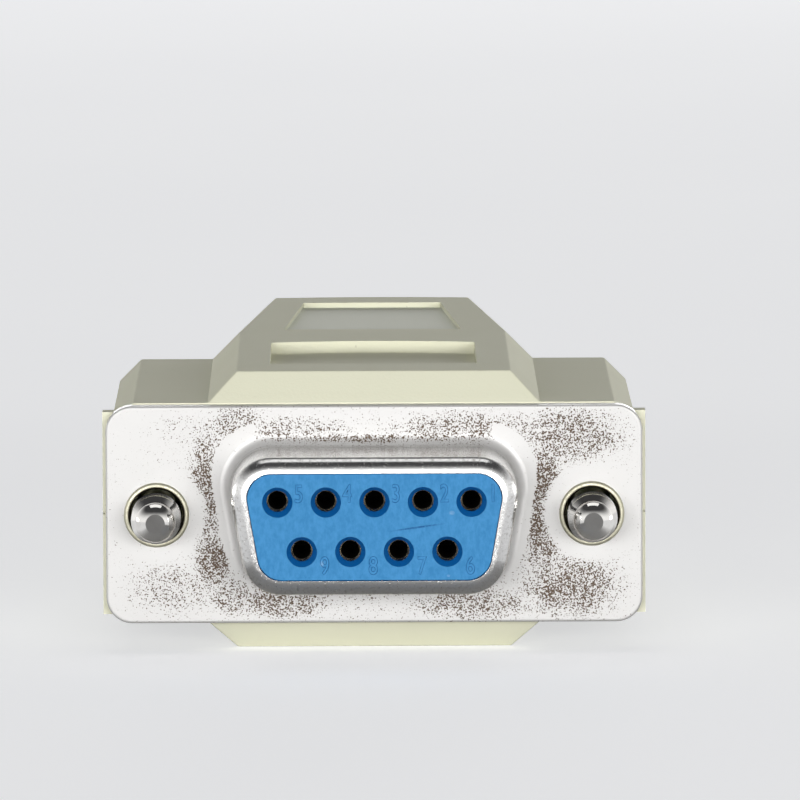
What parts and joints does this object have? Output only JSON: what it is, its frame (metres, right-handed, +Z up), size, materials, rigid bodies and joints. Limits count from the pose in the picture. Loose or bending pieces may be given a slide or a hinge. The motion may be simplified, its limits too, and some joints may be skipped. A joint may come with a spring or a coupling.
{
  "type": "d-sub connector",
  "caption": "Cable socket connector with a D-shaped metal shell, blue contact insert, bevelled beige two-part hood and captive jackscrews that lock it to its mating plug",
  "frame": {"origin": "centre of the flange's front face, midway between the two jackscrews on the mating axis", "axes": "+X right seen from the mating side, +Y rearwards from the mating face to the cable inlet, +Z up, with the wide side of the D up"},
  "size_m": [0.0312, 0.0507, 0.016],
  "materials": {
    "hood_plastic": "fine moulded texture, cream beige",
    "tin_plate": "bright tin plate with dark spangle speckles",
    "insulator_blue": "satin moulded thermoplastic, blue",
    "contact_brass": "gold flashed brass",
    "eyelet_brass": "dull plated brass",
    "screw_nickel": "bright nickel",
    "knob_plastic": "fine moulded texture, cream beige",
    "ring_steel": "spring steel",
    "closing_screw_zinc": "zinc plated steel"
  },
  "bodies": {
    "connector": {"hood_upper": "hood_plastic", "hood_lower": "hood_plastic", "front_shell": "tin_plate", "rear_shell": "tin_plate", "front_insulator": "insulator_blue", "rear_insulator": "insulator_blue", "contact_1": "contact_brass", "contact_2": "contact_brass", "contact_3": "contact_brass", "contact_4": "contact_brass", "contact_5": "contact_brass", "contact_6": "contact_brass", "contact_7": "contact_brass", "contact_8": "contact_brass", "contact_9": "contact_brass", "left_eyelet": "eyelet_brass", "left_hood_screw": "closing_screw_zinc", "right_eyelet": "eyelet_brass", "right_hood_screw": "closing_screw_zinc"},
    "left_clip": {"left_retaining_ring": "ring_steel"},
    "left_screw": {"left_jackscrew": "screw_nickel", "left_knob": "knob_plastic"},
    "right_clip": {"right_retaining_ring": "ring_steel"},
    "right_screw": {"right_jackscrew": "screw_nickel", "right_knob": "knob_plastic"}
  },
  "joints": [
    {"name": "left_retract", "type": "slide", "parent": "connector", "child": "left_clip", "axis": [0, 1, 0], "range_m": [0, 0.0045]},
    {"name": "left_turn", "type": "hinge", "parent": "left_clip", "child": "left_screw", "pos_m": [-0.01249, 0, 0], "axis": [0, 1, 0], "continuous": true},
    {"name": "right_retract", "type": "slide", "parent": "connector", "child": "right_clip", "axis": [0, 1, 0], "range_m": [0, 0.0045]},
    {"name": "right_turn", "type": "hinge", "parent": "right_clip", "child": "right_screw", "pos_m": [0.01249, 0, 0], "axis": [0, 1, 0], "continuous": true}
  ]
}
